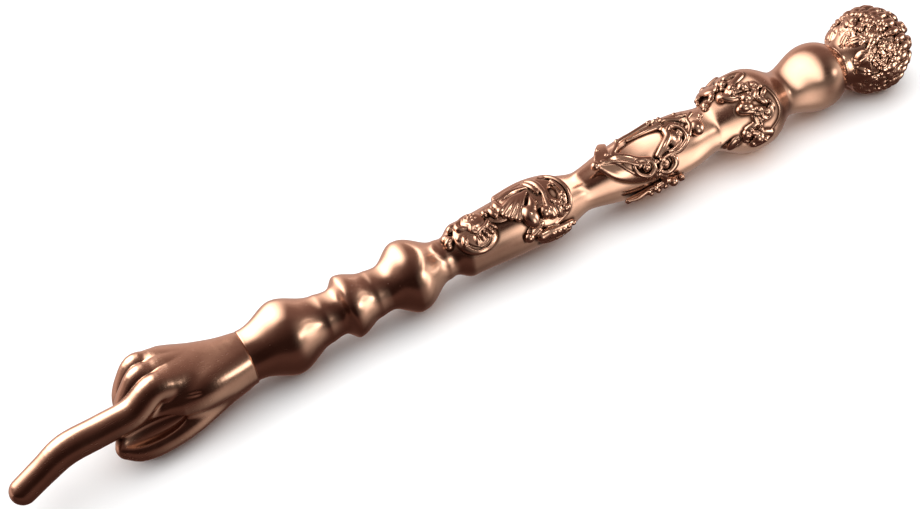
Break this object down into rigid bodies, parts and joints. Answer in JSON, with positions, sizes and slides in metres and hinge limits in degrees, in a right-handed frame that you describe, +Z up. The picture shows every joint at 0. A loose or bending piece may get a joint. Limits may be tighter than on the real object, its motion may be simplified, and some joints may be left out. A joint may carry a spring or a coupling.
{
  "type": "torah pointer",
  "caption": "Slender turned metal pointer with a cast pointing hand at one end, cast fruit and scroll ornaments along the shaft and a relief ball at the other.",
  "frame": {"origin": "middle of the underside of the box round the pointer as it lies, on the surface it lies on", "axes": "+X along the shaft from the fingertip to the ball, +Z up, +Y to the side away from the ornaments"},
  "size_m": [0.199, 0.019, 0.0181],
  "materials": {
    "polished_metal": "polished and worn, copper-toned, with a dark patina in the recesses"
  },
  "bodies": {
    "root": {"hand": "polished_metal", "stem": "polished_metal", "fruit_garland": "polished_metal", "cartouche": "polished_metal", "grape_garland": "polished_metal", "finial": "polished_metal"}
  },
  "joints": []
}
